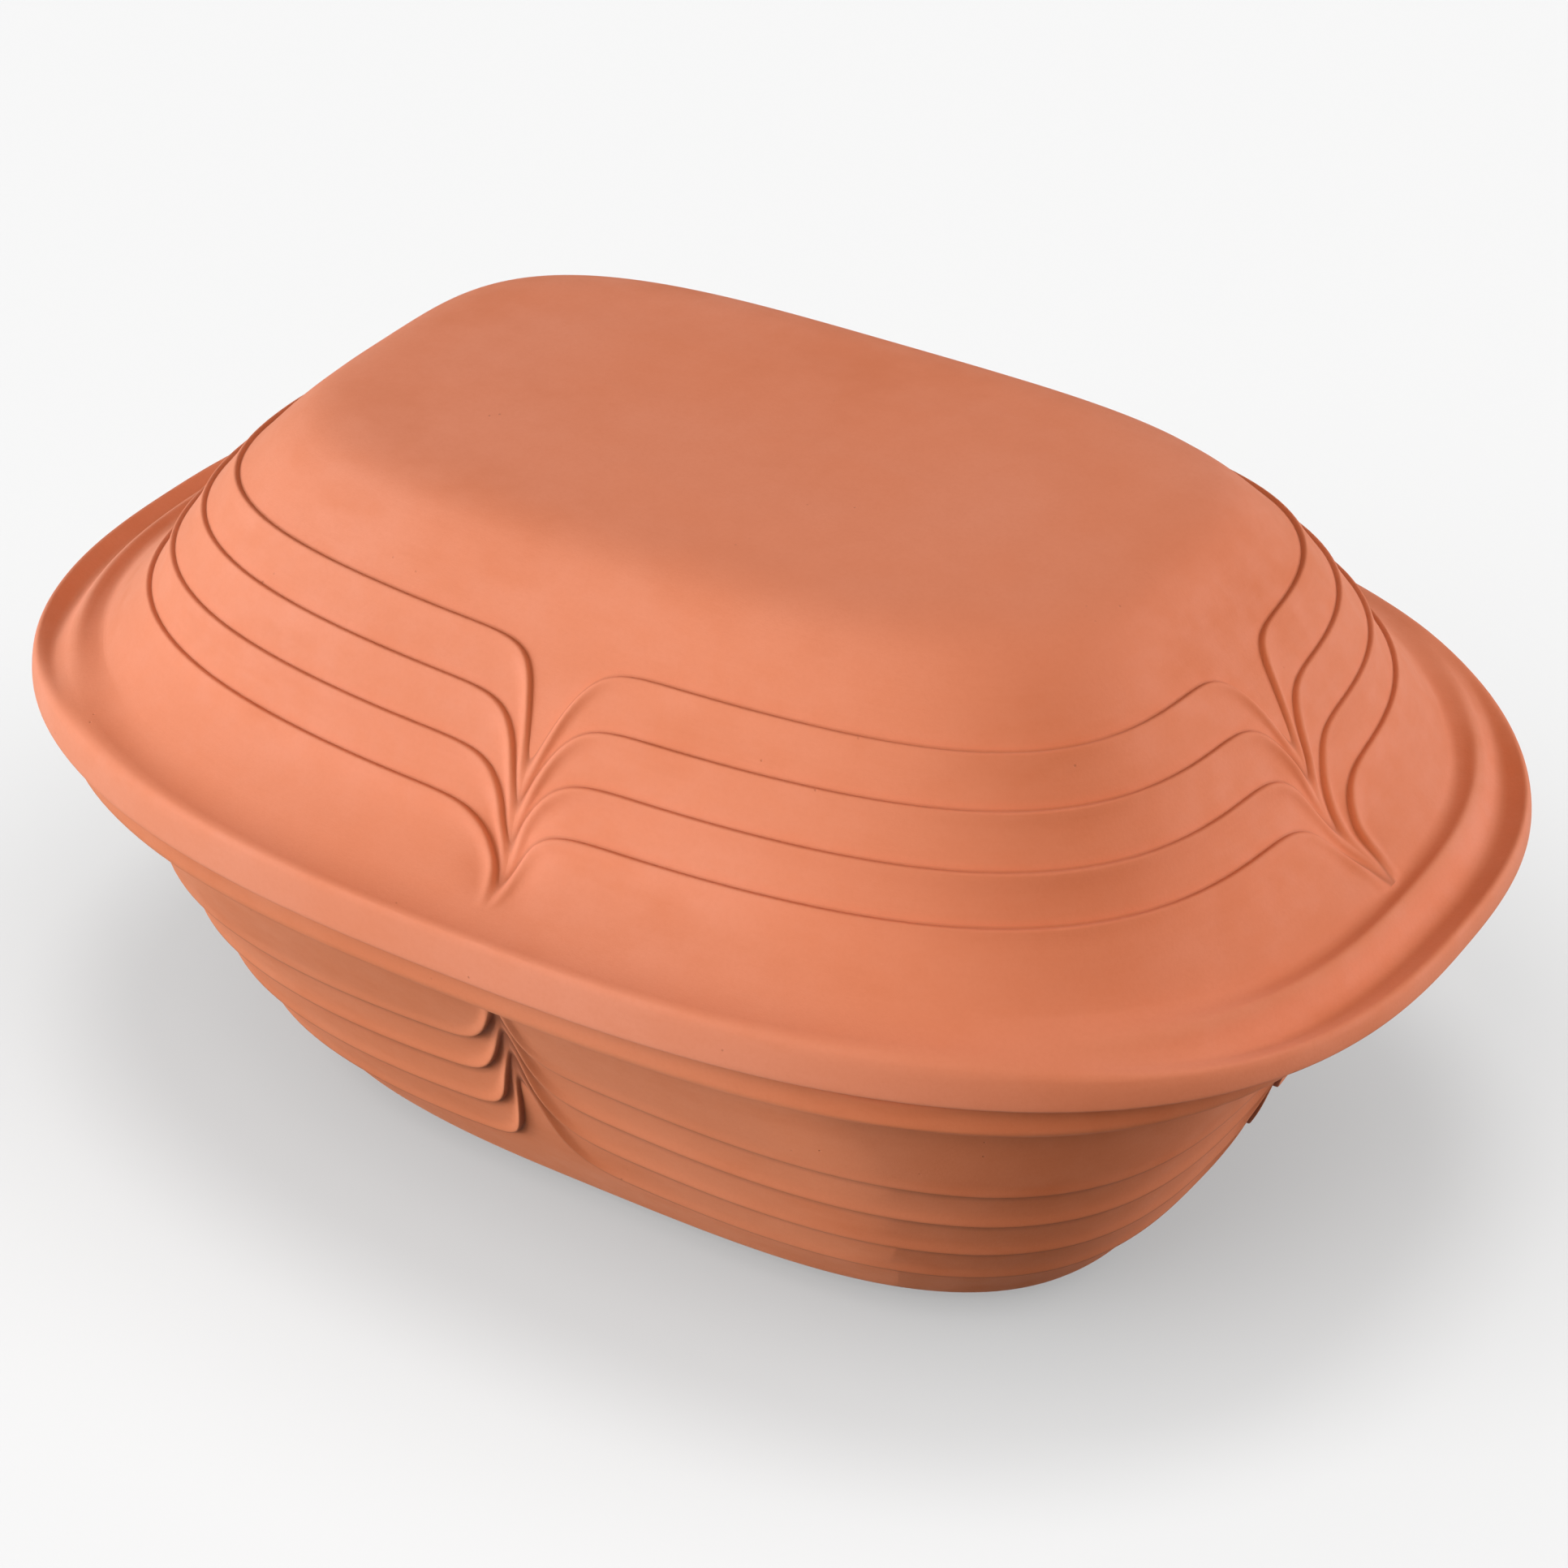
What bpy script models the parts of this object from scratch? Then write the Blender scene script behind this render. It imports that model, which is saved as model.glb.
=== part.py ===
"""Two-piece clay roaster: a deep oval base and a domed lid that rests on its rim.

Metres, Z up, the foot on Z = 0, the long axis along X. Both pieces are one wall of clay, lofted
as rings from the middle of the outside, over the rim and back to the middle of the inside.
"""

import math

import bpy
import numpy as np

# Outline, seen from above
LID_LENGTH = 0.3475
LID_WIDTH = 0.2442
BODY_LENGTH = 0.328
LID_RIM_SQUARENESS = 2.54
BASE_RIM_INSET = 0.0052
BASE_GRIP = 0.0033
BASE_RIM_SQUARENESS = 2.75

# Heights
BASE_HEIGHT = 0.0998
LID_HEIGHT = 0.0715
SEAT_GAP = 0.0003

# Walls and rims
WALL = 0.0078
LID_RIM_HEIGHT = 0.0106
LID_RIM_WIDTH = 0.0088
BASE_RIM_HEIGHT = 0.0104
BASE_RIM_OVERHANG = 0.0100
EDGE_ROUND = 0.0014

# Locating rib under the lid, inside the mouth of the base
RIB_DEPTH = 0.0035
RIB_WIDTH = 0.0045
RIB_CLEARANCE = 0.0015

# Stepped relief: four lines on each piece, drawn together at the middle of each side
STEP_DEPTH = 0.0013
STEP_FACE = 0.0008
SWAG_WIDTH = 0.0048
SWAG_SAG = 0.0012
SWAG_SAG_WIDTH = 0.0240
SPINE_VALLEY = 0.0016
SPINE_WIDTH = 0.0070
SPINE_START = 0.17
SPINE_FULL = 0.26
SPINE_FADE_START = 0.30
SPINE_FADE_END = 0.47
SHOULDER_RISE = 0.0010

# Flare of the lid's skirt along its long sides, where no groove parts it from the rim: how far it
# reaches out at the crest of the rim, the height where it ends and the height where relief starts
LID_FLARE = 0.0097
LID_FLARE_HEIGHT = 0.0180
LID_FLARE_RELIEF = 0.0134

# Wall of each piece from its rim to its middle: share of the height, share of the half width
# that the ring has moved in, squareness of the ring
LID_WALL = (
    (0.140, 0.102, 2.50),
    (0.252, 0.158, 2.93),
    (0.364, 0.216, 3.07),
    (0.495, 0.268, 3.21),
    (0.631, 0.328, 3.30),
    (0.755, 0.400, 3.65),
    (0.890, 0.476, 3.65),
    (0.952, 0.523, 3.50),
    (0.987, 0.690, 3.30),
    (1.000, 1.000, 2.80),
)
BASE_WALL = (
    (0.147, 0.126, 2.85),
    (0.265, 0.168, 3.06),
    (0.401, 0.224, 3.26),
    (0.531, 0.268, 3.23),
    (0.661, 0.315, 3.19),
    (0.787, 0.370, 3.14),
    (0.884, 0.424, 3.16),
    (0.945, 0.459, 3.12),
    (0.987, 0.509, 3.07),
    (1.000, 0.564, 3.02),
    (1.000, 1.000, 2.80),
)

# Relief lines from the rim outwards: height over the panels, height where they meet at the
# middle of a long side, height where they meet at an end, all as shares of the piece's height
LID_LINES = (
    (0.364, 0.205, 0.131),
    (0.496, 0.290, 0.262),
    (0.631, 0.378, 0.397),
    (0.755, 0.486, 0.495),
)
BASE_LINES = (
    (0.401, 0.201, 0.201),
    (0.531, 0.285, 0.285),
    (0.661, 0.378, 0.378),
    (0.787, 0.471, 0.471),
)

# Rims, from the seat face outwards and over: share of the rim's width at the sides and at the
# ends, share of the rim's height at the sides and at the ends
LID_RIM = (
    (0.030, 0.010, 0.300, 0.240),
    (0.085, 0.055, 0.470, 0.400),
    (0.130, 0.160, 0.610, 0.415),
    (0.175, 0.320, 0.740, 0.380),
    (0.240, 0.500, 0.870, 0.570),
    (0.340, 0.620, 0.960, 0.860),
    (0.500, 0.730, 1.024, 0.970),
    (0.730, 0.860, 1.103, 0.910),
    (1.000, 1.000, 1.196, 0.820),
)
BASE_RIM = (
    (0.000, 0.000, 0.300, 0.300),
    (0.000, 0.000, 0.760, 0.760),
    (0.050, 0.040, 0.920, 0.920),
    (0.160, 0.130, 1.000, 1.000),
    (0.520, 0.520, 1.070, 1.070),
    (0.820, 0.820, 1.190, 1.190),
)

COLUMNS = 19
BAND_ROWS = 3
GRIP_START = math.radians(22)
GRIP_END = math.radians(52)


def smooth_step(value, start, end):
    share = np.clip((np.asarray(value, float) - start) / (end - start), 0, 1)
    return share * share * (3 - 2 * share)


def column_angles():
    """Angles over one quarter, closest together at the two spines."""
    share = np.linspace(0, 1, COLUMNS + 1)
    near = share ** 1.75
    far = (1 - share) ** 1.75
    return near / (near + far) * math.pi / 2


def ring(half_length, half_width, squareness, angle):
    """Points of a superellipse quarter, as X and Y."""
    across = np.abs(np.cos(angle))
    along = np.abs(np.sin(angle))
    reach = (across ** squareness + along ** squareness) ** (-1 / squareness)
    return half_length * reach * np.cos(angle), half_width * reach * np.sin(angle)


def at_side(angle):
    """1 along the long sides, 0 round the ends."""
    return smooth_step(angle, GRIP_START, GRIP_END)


class Wall:
    """Smooth profile of a piece: height from the seat, inset of the ring and its squareness.

    A flare widens the low rings along the long sides.
    """

    def __init__(self, levels, height, inset_by=0.0, flare=0.0):
        rows = np.array(levels, float)
        rise = rows[:, 0] * height
        inset = rows[:, 1] * LID_WIDTH / 2
        if inset_by:
            slope_rise = np.gradient(rise)
            slope_inset = np.gradient(inset)
            slope_rise[-1] = 0
            length = np.hypot(slope_rise, slope_inset)
            inset = np.minimum(inset + inset_by * slope_rise / length, LID_WIDTH / 2)
            rise = rise - inset_by * slope_inset / length
        chord = np.hypot(np.diff(rise), np.diff(inset))
        self.flare = flare
        self.knots = np.concatenate([[0], np.cumsum(chord)]) / chord.sum()
        self.values = np.stack([rise, inset, rows[:, 2]])
        self.slopes = np.stack([self.gentle_slopes(row) for row in self.values])
        places = np.linspace(0, 1, 2001)
        self.rise_table = self.at(places)[0]
        self.place_table = places

    def gentle_slopes(self, row):
        """Slopes at the knots that never overshoot."""
        step = np.diff(row) / np.diff(self.knots)
        slope = np.concatenate([[step[0]], (step[1:] + step[:-1]) / 2, [step[-1]]])
        limit = 3 * np.minimum(
            np.abs(np.concatenate([[step[0]], step])), np.abs(np.concatenate([step, [step[-1]]]))
        )
        turning = np.concatenate([[False], step[1:] * step[:-1] <= 0, [False]])
        slope = np.sign(slope) * np.minimum(np.abs(slope), limit)
        slope[turning] = 0
        return slope

    def at(self, place):
        place = np.clip(place, 0, 1)
        found = np.clip(np.searchsorted(self.knots, place, side="right") - 1, 0, len(self.knots) - 2)
        width = self.knots[found + 1] - self.knots[found]
        share = (place - self.knots[found]) / width
        start = self.values[:, found]
        end = self.values[:, found + 1]
        leave = self.slopes[:, found] * width
        reach = self.slopes[:, found + 1] * width
        return (
            (2 * share ** 3 - 3 * share ** 2 + 1) * start
            + (share ** 3 - 2 * share ** 2 + share) * leave
            + (3 * share ** 2 - 2 * share ** 3) * end
            + (share ** 3 - share ** 2) * reach
        )

    def place_of(self, rise):
        return np.interp(rise, self.rise_table, self.place_table)

    def points(self, angle, place):
        rise, inset, squareness = self.at(place)
        left = np.clip((LID_FLARE_HEIGHT - rise) / (LID_FLARE_HEIGHT - LID_RIM_HEIGHT), 0, 1.2)
        half_width = LID_WIDTH / 2 - inset + self.flare * left ** 1.33 * at_side(angle)
        x, y = ring(BODY_LENGTH / 2 - inset, half_width, squareness, angle)
        return np.stack([x, y, rise], -1)

    def normals(self, angle, place):
        """Unit normals that point away from the inside."""
        small = 1e-4
        round_ring = self.points(angle + small, place) - self.points(angle - small, place)
        up_wall = self.points(angle, place + small) - self.points(angle, place - small)
        normal = np.cross(round_ring, up_wall)
        return normal / np.linalg.norm(normal, axis=-1, keepdims=True)


def line_height(line, height, from_side, from_end):
    """Height of one relief line at the given distances from the two spines."""
    panel, side, end = (share * height for share in line)
    side_dip = (panel - side) * np.exp(-from_side / SWAG_WIDTH)
    end_dip = (panel - end) * np.exp(-from_end / SWAG_WIDTH)
    sag = SWAG_SAG / SWAG_SAG_WIDTH * (
        from_side * np.exp(1 - from_side / SWAG_SAG_WIDTH)
        + from_end * np.exp(1 - from_end / SWAG_SAG_WIDTH)
    )
    return panel - side_dip - end_dip - sag


def relief_rows(wall, lines, height, angle, valley, start):
    """Rows of the stepped wall, from the given heights to the last line."""
    reference = LID_WIDTH / 2 * 0.25
    from_side, from_end = ring(BODY_LENGTH / 2 - reference, LID_WIDTH / 2 - reference, 3.3, angle)
    centre = np.exp(-((from_side / SPINE_WIDTH) ** 2)) + np.exp(-((from_end / SPINE_WIDTH) ** 2))
    rows = []

    def add(rise, offset):
        place = wall.place_of(rise)
        depth = valley * centre * smooth_step(rise, SPINE_START * height, SPINE_FULL * height)
        depth = depth * (1 - smooth_step(rise, SPINE_FADE_START * height, SPINE_FADE_END * height))
        normal = wall.normals(angle, place)
        rows.append(wall.points(angle, place) + (offset - depth)[:, None] * normal)

    for line in lines:
        proud = line_height(line, height, from_side, from_end)
        step = STEP_DEPTH * np.ones_like(angle)
        for row in range(1, BAND_ROWS):
            share = row / BAND_ROWS
            add(start + (proud - start) * share, step * (1 - (1 - share) ** 2))
        add(proud, step)
        start = proud + STEP_FACE
        add(start, 0 * step)
    last = start
    for share in (0.25, 0.5, 0.75, 1.0):
        target = wall.values[0, -4]
        add(last + (np.maximum(target, last + SHOULDER_RISE) - last) * share, 0 * angle)
    return rows


def rim_rows(profile, width_side, width_end, rim_height, outer, inner_squareness, angle):
    """Rows over a rim, given as shares of its width and height at the sides and at the ends."""
    half_length, half_width, outer_squareness = outer
    end = 1 - at_side(angle)
    rows = []
    for side_share, end_share, side_rise, end_rise in profile:
        blend = (side_share + end_share) / 2
        squareness = outer_squareness + (inner_squareness - outer_squareness) * blend
        x, y = ring(
            half_length - end_share * width_end, half_width - side_share * width_side, squareness, angle
        )
        rise = rim_height * (side_rise + (end_rise - side_rise) * end)
        rows.append(np.stack([x, y, rise], -1))
    return rows


def flat_ring(half_length, half_width, squareness, rise, angle):
    x, y = ring(half_length, half_width, squareness, angle)
    return np.stack([x, y, np.full_like(angle, rise)], -1)


def edge_rows(half_length, half_width, squareness, rise, angle, turn):
    """Rounded edge between a flat seat and a face; turn is +1 for an outer edge, -1 for an inner."""
    rows = []
    for share in (0.0, 0.5, 1.0):
        bend = share * math.pi / 2
        back = EDGE_ROUND * (1 - math.sin(bend)) * turn
        up = EDGE_ROUND * (1 - math.cos(bend))
        rows.append(flat_ring(half_length - back, half_width - back, squareness, rise + up, angle))
    return rows


def inside_rows(inner, first_rise, count, angle):
    """Rows of the smooth inside, from the given height to the middle."""
    first = float(inner.place_of(first_rise))
    rows = []
    for share in np.linspace(0, 1, count):
        rows.append(inner.points(angle, np.full_like(angle, first + (1 - first) * share)))
    return rows


def outside_middle(wall, after, shares, angle):
    """Rows from the top of the relief to the middle of the crown or foot."""
    return [wall.points(angle, np.full_like(angle, after + (1 - after) * share)) for share in shares]


def add_piece(name, rows, base_height, upwards, material, collection):
    """Quarter of a piece from its rows, mirrored over both planes of symmetry."""
    grid = np.array(rows)
    grid[:, 0, 1] = 0
    grid[:, -1, 0] = 0
    grid[0, :, 1] = 0
    grid[-1, :, 1] = 0
    grid[..., 2] = base_height + grid[..., 2] * (1 if upwards else -1)
    row_count, column_count = grid.shape[:2]
    faces = []
    for row in range(row_count - 1):
        for column in range(column_count - 1):
            corner = row * column_count + column
            face = (corner, corner + 1, corner + column_count + 1, corner + column_count)
            faces.append(face[::-1] if upwards else face)
    mesh = bpy.data.meshes.new(name)
    mesh.from_pydata([tuple(point) for point in grid.reshape(-1, 3)], [], faces)
    mesh.validate()
    mesh.shade_smooth()
    mesh.materials.append(material)
    piece = bpy.data.objects.new(name, mesh)
    collection.objects.link(piece)
    mirror = piece.modifiers.new("both planes of symmetry", "MIRROR")
    mirror.use_axis = (True, True, False)
    mirror.merge_threshold = 0.00001
    return piece


def clay(name, colour, roughness):
    material = bpy.data.materials.new(name)
    material.use_nodes = True
    shader = material.node_tree.nodes["Principled BSDF"]
    shader.inputs["Base Color"].default_value = (*colour, 1)
    shader.inputs["Roughness"].default_value = roughness
    material.diffuse_color = (*colour, 1)
    return material


def build_base(angle, collection):
    height = BASE_HEIGHT - SEAT_GAP / 2
    wall = Wall(BASE_WALL, height)
    inner = Wall(BASE_WALL, height, WALL)
    half_length = BODY_LENGTH / 2 - BASE_RIM_INSET + BASE_GRIP
    half_width = LID_WIDTH / 2 - BASE_RIM_INSET
    start = np.full_like(angle, wall.values[0, 0])
    relief = relief_rows(wall, BASE_LINES, height, angle, SPINE_VALLEY * 0.4, start)
    after = float(wall.place_of(wall.values[0, -4]))
    middle = outside_middle(wall, after, (0.09, 0.2, 0.3, 1.0), angle)
    rim = rim_rows(
        BASE_RIM,
        BASE_RIM_OVERHANG,
        BASE_RIM_OVERHANG + BASE_GRIP,
        BASE_RIM_HEIGHT,
        (half_length, half_width, BASE_RIM_SQUARENESS),
        BASE_WALL[0][2],
        angle,
    )
    mouth_length, mouth_width = mouth_size()
    rows = middle[::-1] + relief[::-1] + rim[::-1]
    rows += edge_rows(half_length, half_width, BASE_RIM_SQUARENESS, 0, angle, 1)[::-1]
    rows += edge_rows(mouth_length, mouth_width, BASE_WALL[0][2], 0, angle, -1)
    rows += inside_rows(inner, max(3 * EDGE_ROUND, inner.values[0, 0]), 11, angle)
    material = clay("fired_clay_base", (0.62, 0.24, 0.13), 0.85)
    return add_piece("base", rows, height, False, material, collection)


def mouth_size():
    """Half length and half width of the mouth of the base."""
    inset = BASE_WALL[0][1] * LID_WIDTH / 2 + WALL * 0.75
    return BODY_LENGTH / 2 - inset, LID_WIDTH / 2 - inset


def build_lid(angle, collection):
    seat = BASE_HEIGHT + SEAT_GAP / 2
    wall = Wall(LID_WALL, LID_HEIGHT, flare=LID_FLARE)
    inner = Wall(LID_WALL, LID_HEIGHT, WALL)
    start = wall.values[0, 0] + (LID_FLARE_RELIEF - wall.values[0, 0]) * at_side(angle)
    relief = relief_rows(wall, LID_LINES, LID_HEIGHT, angle, SPINE_VALLEY, start)
    after = float(wall.place_of(wall.values[0, -4]))
    middle = outside_middle(wall, after, (0.12, 0.3, 0.6, 1.0), angle)
    rim = rim_rows(
        LID_RIM,
        LID_RIM_WIDTH,
        LID_RIM_WIDTH + (LID_LENGTH - BODY_LENGTH) / 2,
        LID_RIM_HEIGHT,
        (LID_LENGTH / 2, LID_WIDTH / 2, LID_RIM_SQUARENESS),
        LID_WALL[0][2],
        angle,
    )
    mouth_length, mouth_width = mouth_size()
    rib_length = mouth_length - RIB_CLEARANCE
    rib_width = mouth_width - RIB_CLEARANCE
    squareness = BASE_WALL[0][2]
    rows = middle[::-1] + relief[::-1] + rim[::-1]
    rows += edge_rows(LID_LENGTH / 2, LID_WIDTH / 2, LID_RIM_SQUARENESS, 0, angle, 1)[::-1]
    rows.append(flat_ring(rib_length, rib_width, squareness, 0, angle))
    rows.append(flat_ring(rib_length, rib_width, squareness, -RIB_DEPTH + EDGE_ROUND, angle))
    rows.append(flat_ring(rib_length - EDGE_ROUND, rib_width - EDGE_ROUND, squareness, -RIB_DEPTH, angle))
    within = RIB_WIDTH - EDGE_ROUND
    rows.append(flat_ring(rib_length - within, rib_width - within, squareness, -RIB_DEPTH, angle))
    rows.append(
        flat_ring(rib_length - RIB_WIDTH, rib_width - RIB_WIDTH, squareness, -RIB_DEPTH + EDGE_ROUND, angle)
    )
    rows += inside_rows(inner, LID_RIM_HEIGHT * 0.6, 11, angle)
    material = clay("fired_clay_lid", (0.66, 0.26, 0.14), 0.85)
    return add_piece("lid", rows, seat, True, material, collection)


def build():
    for existing in list(bpy.data.objects):
        bpy.data.objects.remove(existing)
    collection = bpy.data.collections.new("clay_roaster")
    bpy.context.scene.collection.children.link(collection)
    angle = column_angles()
    build_base(angle, collection)
    build_lid(angle, collection)


build()
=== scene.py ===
"""Looks of the clay roaster: both pieces as fired, unglazed clay, on a pale floor in soft light.

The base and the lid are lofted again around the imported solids, finely enough for rounded
shoulders along the draped steps, and take a procedural clay finish.
"""

import math

import bmesh
import bpy
import numpy as np
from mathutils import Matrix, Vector


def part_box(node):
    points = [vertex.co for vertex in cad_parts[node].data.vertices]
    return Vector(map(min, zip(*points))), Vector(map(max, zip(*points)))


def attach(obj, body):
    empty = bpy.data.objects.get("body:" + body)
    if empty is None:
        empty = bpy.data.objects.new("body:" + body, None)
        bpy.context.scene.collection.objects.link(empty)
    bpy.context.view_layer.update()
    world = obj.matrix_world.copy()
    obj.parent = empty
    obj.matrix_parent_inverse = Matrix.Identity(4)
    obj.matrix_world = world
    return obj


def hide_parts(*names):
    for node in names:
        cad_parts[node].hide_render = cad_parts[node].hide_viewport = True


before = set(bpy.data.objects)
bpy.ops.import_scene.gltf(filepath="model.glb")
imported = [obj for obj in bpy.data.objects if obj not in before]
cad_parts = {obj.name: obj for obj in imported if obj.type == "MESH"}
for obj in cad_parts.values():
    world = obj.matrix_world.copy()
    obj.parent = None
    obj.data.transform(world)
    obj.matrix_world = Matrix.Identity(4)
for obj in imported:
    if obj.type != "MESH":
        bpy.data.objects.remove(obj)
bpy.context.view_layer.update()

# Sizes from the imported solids, in metres
BASE_LOW, BASE_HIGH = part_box("base")
LID_LOW, LID_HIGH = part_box("lid")
BASE_HEIGHT = BASE_HIGH.z
LID_LENGTH = LID_HIGH.x - LID_LOW.x
LID_WIDTH = LID_HIGH.y - LID_LOW.y
RIB_DEPTH = 0.0035
SEAT_HEIGHT = LID_LOW.z + RIB_DEPTH
LID_HEIGHT = LID_HIGH.z - SEAT_HEIGHT
BODY_LENGTH = 0.328
HALF_WIDTH = LID_WIDTH / 2

# Walls and rims
WALL = 0.0078
LID_RIM_SQUARENESS = 2.54
LID_RIM_HEIGHT = 0.0106
LID_RIM_WIDTH = 0.0088
LID_GRIP_WIDTH = LID_RIM_WIDTH + (LID_LENGTH - BODY_LENGTH) / 2
BASE_RIM_LENGTH = (BASE_HIGH.x - BASE_LOW.x) / 2
BASE_RIM_WIDTH = (BASE_HIGH.y - BASE_LOW.y) / 2
BASE_RIM_SQUARENESS = 2.75
BASE_RIM_HEIGHT = 0.0104
BASE_RIM_OVERHANG = 0.0100
BASE_GRIP = 0.0033
EDGE_ROUND = 0.0014
LID_EDGE_ROUND = 0.0007
BEVEL_SHARE = 0.3
RIB_WIDTH = 0.0045
RIB_CLEARANCE = 0.0015
MOUTH_INSET = WALL * 0.75
LID_INSIDE_START = LID_RIM_HEIGHT * 0.6

# Turn from the ends, after which a rim starts to narrow and where it has become that of a side
GRIP_START = math.radians(22)
GRIP_END = math.radians(52)

# Share of a rim's rows after which it starts to bend over to the wall
LANDING_START = 0.72

# Corner where the fired rim of the base sinks, and the share of the rim's rows that go with it
WARP_ANGLE = math.radians(-57)
WARP_REACH = math.radians(11)
WARP = 0.0030
WARP_FADE = 0.5

# Flare of the foot of the lid's skirt, along its long sides and at its ends
LID_FLARE = 0.0093
LID_END_FLARE = 0.0044
LID_FLARE_HEIGHT = 0.0220
LID_FLARE_BEND = 2.2
LID_FLARE_MOST = 1.2
LID_FLARE_RELIEF = 0.0128

# Draped lines, and the spines at the middle of the sides and ends where they gather into a V
STEP_FACE = 0.0008
SWAG_WIDTH = 0.0048
SWAG_TIP = 0.0010
LID_SAG = (0.0012, 0.0240)
BASE_SAG = (0.0030, 0.0170)
LID_VALLEY = 0.0016
BASE_VALLEY = 0.00064
SPINE_WIDTH = 0.0070
SPINE_START = 0.17
SPINE_FULL = 0.26
SPINE_FADE_START = 0.30
SPINE_FADE_END = 0.47
SPINE_RING_INSET = HALF_WIDTH * 0.25
SPINE_RING_SQUARENESS = 3.3
FOLD_REACH = 0.0115
BAND_ROOM = 0.0026
UNEVEN_FULL = 0.006
UNEVEN_FADE_START = 0.80
UNEVEN_FADE_END = 0.95

# Lean of the V at the front: shift along X, shares of the height at which it starts and is full
LID_LEAN = (0.0040, 0.36, 0.19)
BASE_LEAN = (-0.0038, 0.12, 0.50)
LEAN_REACH = 0.030

# Reach of the painted shade along a line's crease, over the lip and over the foot of the next band
LID_CREASE_SHADE_REACH = (0.0004, 0.0004)
BASE_CREASE_SHADE_REACH = (0.0007, 0.0013)

# Profile of the steps between the bands; near a spine they turn into folds
LID_STEPS = {
    "Step depth": 0.0012,
    "Lip width": 0.0007,
    "Lip roundness": 0.65,
    "Bead share": 0.36,
    "Bead fall": 0.0024,
    "Fold depth": 0.0012,
    "Fold lip width": 0.0015,
    "Fold lip roundness": 0.95,
    "Fold bead share": 0.80,
    "Fold bead fall": 0.0016,
    "Unevenness": 0.00012,
    "Seed": 3.0,
}
BASE_STEPS = LID_STEPS | {
    "Step depth": 0.0013,
    "Lip width": 0.0005,
    "Bead share": 0.40,
    "Fold depth": 0.0019,
    "Fold lip width": 0.0010,
    "Fold bead share": 0.40,
    "Seed": 8.0,
}

# Wall of each piece from its rim to its middle: share of the height, share of the half width
# that the ring has moved in, squareness of the ring
LID_WALL = (
    (0.140, 0.102, 2.50),
    (0.252, 0.158, 2.93),
    (0.364, 0.216, 3.07),
    (0.495, 0.268, 3.21),
    (0.631, 0.328, 3.30),
    (0.755, 0.400, 3.65),
    (0.890, 0.476, 3.65),
    (0.952, 0.523, 3.50),
    (0.987, 0.690, 3.30),
    (1.000, 1.000, 2.80),
)
BASE_WALL = (
    (0.147, 0.126, 2.85),
    (0.265, 0.168, 3.06),
    (0.401, 0.224, 3.26),
    (0.531, 0.268, 3.23),
    (0.661, 0.315, 3.19),
    (0.787, 0.370, 3.14),
    (0.884, 0.424, 3.16),
    (0.945, 0.459, 3.12),
    (0.987, 0.509, 3.07),
    (1.000, 0.564, 3.02),
    (1.000, 1.000, 2.80),
)

# Level of a wall where the relief has ended, counted from the last
RELIEF_TOP = -4

# Relief lines from the rim outwards: height over the panels, height where they meet at the
# middle of a long side, height where they meet at an end, all as shares of the piece's height
LID_LINES = (
    (0.364, 0.216, 0.131),
    (0.496, 0.290, 0.262),
    (0.631, 0.378, 0.397),
    (0.755, 0.486, 0.495),
)
BASE_LINES = (
    (0.401, 0.201, 0.201),
    (0.531, 0.285, 0.285),
    (0.661, 0.378, 0.378),
    (0.787, 0.471, 0.471),
)

# Rims, from the seat face outwards and over: share of the rim's width at the sides and at the
# ends, share of the rim's height at the sides and at the ends
LID_RIM = (
    (0.000, 0.000, 0.132, 0.132),
    (0.020, 0.010, 0.340, 0.280),
    (0.045, 0.040, 0.560, 0.440),
    (0.070, 0.095, 0.740, 0.500),
    (0.100, 0.210, 0.880, 0.430),
    (0.150, 0.370, 0.965, 0.345),
    (0.240, 0.520, 1.005, 0.520),
    (0.400, 0.640, 1.030, 0.830),
    (0.580, 0.740, 1.060, 0.955),
    (0.740, 0.830, 1.100, 0.915),
    (0.880, 0.885, 1.150, 0.905),
    (1.000, 0.940, 1.196, 0.960),
)
BASE_RIM = (
    (0.000, 0.000, 0.135, 0.135),
    (0.000, 0.000, 0.300, 0.300),
    (0.000, 0.000, 0.760, 0.760),
    (0.050, 0.040, 0.920, 0.920),
    (0.160, 0.130, 1.000, 1.000),
    (0.520, 0.520, 1.070, 1.070),
    (0.820, 0.820, 1.190, 1.190),
    (1.000, 1.000, 1.409, 1.409),
)

# Fineness of the loft
QUARTER_COLUMNS = 110
SPINE_CROWDING = 1.8
WALL_LOOKUPS = 4001
PLACE_STEP = 0.001
DOUBLES_APART = 1e-6
EDGE_ROWS = 6
LID_RIM_ROWS = 50
BASE_RIM_ROWS = 26
LID_MIDDLE_ROWS = 26
BASE_MIDDLE_ROWS = 22
MIDDLE_CROWDING = 0.85
LID_INSIDE_ROWS = 36
BASE_INSIDE_ROWS = 40
CREASE_DISTANCES = (
    0.00003, 0.00009, 0.00018, 0.0003, 0.00046, 0.0007, 0.0010, 0.0014, 0.0019, 0.0026, 0.0036, 0.0050
)
MIDDLE_SHARES = (0.33, 0.67)
FOOT_DISTANCES = (0.0012, 0.0006, 0.00025, 0.0001)
LAST_DISTANCES = (0.0001, 0.0003, 0.0007, 0.0014, 0.0024, 0.0036)
LAST_ROWS = 8
LAST_CLIMB = 0.001

# Rows of the lid, counted from the first of its rim, between which rim and skirt run into each
# other, at the ends and along the sides
END_BEND = (45, 54)
SIDE_BEND = (33, 54)


def smooth_step(value, start, end):
    share = np.clip((np.asarray(value, float) - start) / (end - start), 0, 1)
    return share * share * (3 - 2 * share)


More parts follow.
